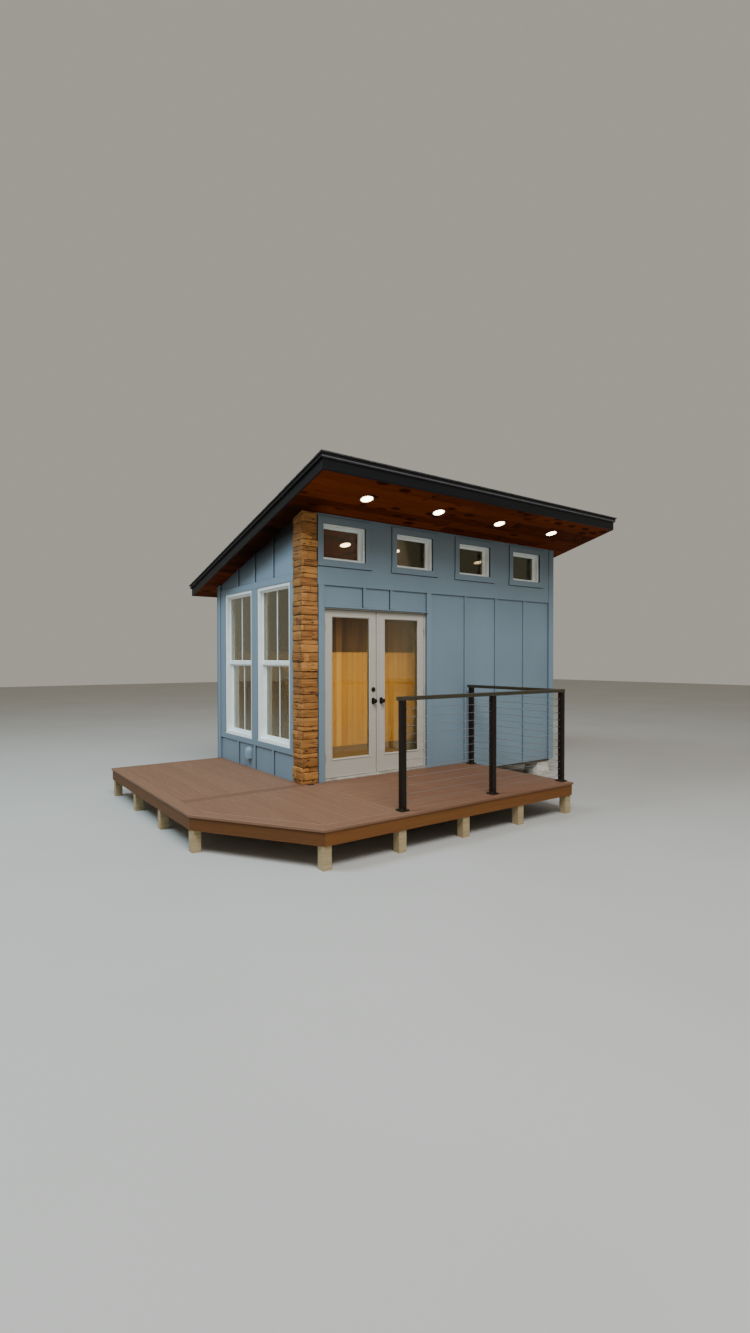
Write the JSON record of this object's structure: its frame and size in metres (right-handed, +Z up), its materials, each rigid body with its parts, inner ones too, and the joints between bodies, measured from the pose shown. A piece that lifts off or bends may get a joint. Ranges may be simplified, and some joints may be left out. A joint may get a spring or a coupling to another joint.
{
  "type": "garden office pod",
  "caption": "Garden office pod: mono-pitch roof, board-and-batten walls, double glazed doors, stacked-wood corner, wrap deck with cable railing.",
  "frame": {"origin": "middle of the footprint of deck and roof, on the ground", "axes": "+X along the front wall to the right, +Y from the front to the back, +Z up"},
  "size_m": [6.436, 4.808, 3.9577],
  "materials": {
    "concrete": "cast concrete, pale grey, rough",
    "raw_timber": "pressure-treated pine, sawn",
    "plywood": "plywood panel",
    "siding_paint": "board siding, slate-blue paint, satin",
    "trim_paint": "trim boards, slate-blue paint, satin",
    "window_white": "white window profile, satin",
    "window_glass": "clear double glazing",
    "stacked_wood": "rough-sawn cedar, oiled orange-brown",
    "door_paint": "warm light grey paint, satin",
    "aluminium_sill": "mill-finish aluminium",
    "hinge_steel": "satin steel",
    "black_hardware": "oil-rubbed black, satin",
    "soffit_stain": "tongue-and-groove boards, dark cedar stain",
    "lamp_lens": "frosted lens, lit warm white",
    "black_fascia": "black-blue fascia, satin",
    "drip_metal": "black drip edge, satin",
    "shingle": "asphalt shingles, charcoal granules",
    "deck_fascia_board": "composite board, warm brown, grained",
    "deck_board": "composite deck board, red-brown, grained",
    "rail_black": "powder-coated dark bronze, satin",
    "steel_cable": "stainless wire rope"
  },
  "bodies": {
    "pod": {"pier_blocks": "concrete", "floor_frame": "raw_timber", "floor_panel": "plywood", "front_wall_left": "siding_paint", "front_wall_right": "siding_paint", "front_wall_top": "siding_paint", "left_wall": "siding_paint", "right_wall": "siding_paint", "back_wall": "siding_paint", "front_trim": "trim_paint", "left_trim": "trim_paint", "right_trim": "trim_paint", "back_trim": "trim_paint", "frieze": "trim_paint", "clerestory_casings": "trim_paint", "clerestory_frames": "window_white", "side_window_frames": "window_white", "side_window_sashes": "window_white", "window_glass": "window_glass", "stacked_corner": "stacked_wood", "vent_hood": "trim_paint", "door_frame": "door_paint", "threshold": "aluminium_sill", "door_hinges": "hinge_steel", "soffit": "soffit_stain", "soffit_lights": "lamp_lens", "rafters": "raw_timber", "sheathing": "plywood", "fascia": "black_fascia", "drip_edge": "drip_metal", "shingles": "shingle", "deck_posts": "raw_timber", "deck_joists": "raw_timber", "deck_fascia": "deck_fascia_board", "deck_border": "deck_board", "deck_boards": "deck_board", "rail_posts": "rail_black", "rail_top": "rail_black", "cables": "steel_cable"},
    "left_door": {"left_leaf": "door_paint", "left_pane": "window_glass", "left_handle": "black_hardware"},
    "right_door": {"right_leaf": "door_paint", "right_pane": "window_glass", "right_handle": "black_hardware"}
  },
  "joints": [
    {"name": "left_door_swing", "type": "hinge", "parent": "pod", "child": "left_door", "pos_m": [-1.3585, -0.629, 0.395], "axis": [0, 0, -1], "range_deg": [0, 105]},
    {"name": "right_door_swing", "type": "hinge", "parent": "pod", "child": "right_door", "pos_m": [0.1925, -0.629, 0.395], "axis": [0, 0, 1], "range_deg": [0, 105]}
  ]
}
